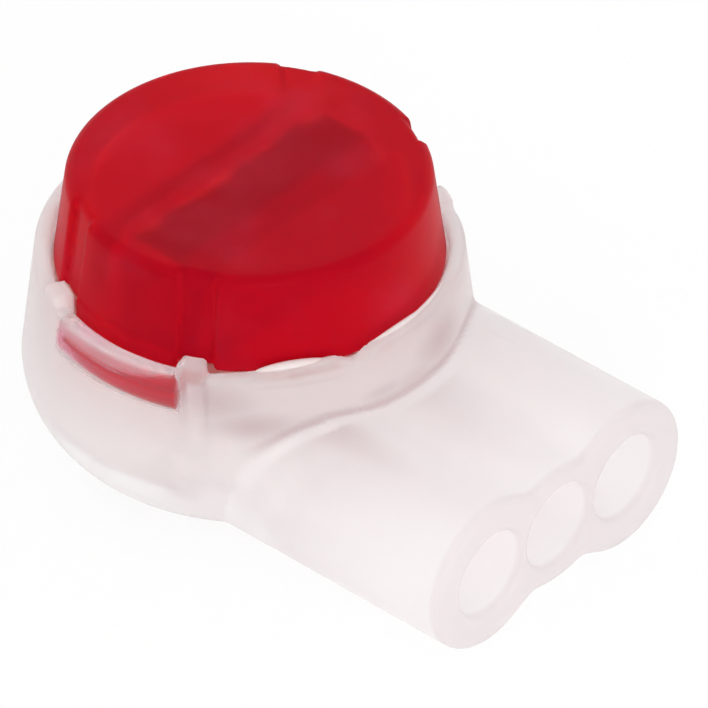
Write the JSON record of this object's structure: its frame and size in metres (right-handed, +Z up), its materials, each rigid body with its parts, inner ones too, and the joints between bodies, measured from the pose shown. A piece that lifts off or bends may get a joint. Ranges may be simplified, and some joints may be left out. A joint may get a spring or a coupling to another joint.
{
  "type": "gel-filled wire splice connector",
  "caption": "Wire splice: a clear cup with wire ports in its side, sealing gel inside, and a red cap that presses a slotted contact down through the wires' insulation.",
  "frame": {"origin": "on the cup's axis, at its flat underside", "axes": "+X along the wire ports, out of their mouths; +Z up through the press cap; +Y across the ports"},
  "size_m": [0.0209, 0.015, 0.0104],
  "materials": {
    "housing_clear": "clear polypropylene, slightly milky, as moulded",
    "cap_red": "see-through red polypropylene, as moulded",
    "contact_tin": "tin-plated, satin",
    "gel_clear": "clear sealing gel, wet"
  },
  "bodies": {
    "housing": {"housing": "housing_clear", "gel": "gel_clear"},
    "cap": {"cap": "cap_red", "contact": "contact_tin"}
  },
  "joints": [
    {"name": "cap_press", "type": "slide", "parent": "housing", "child": "cap", "axis": [0, 0, -1], "range_m": [0, 0.0028], "deforming": ["gel"]}
  ]
}
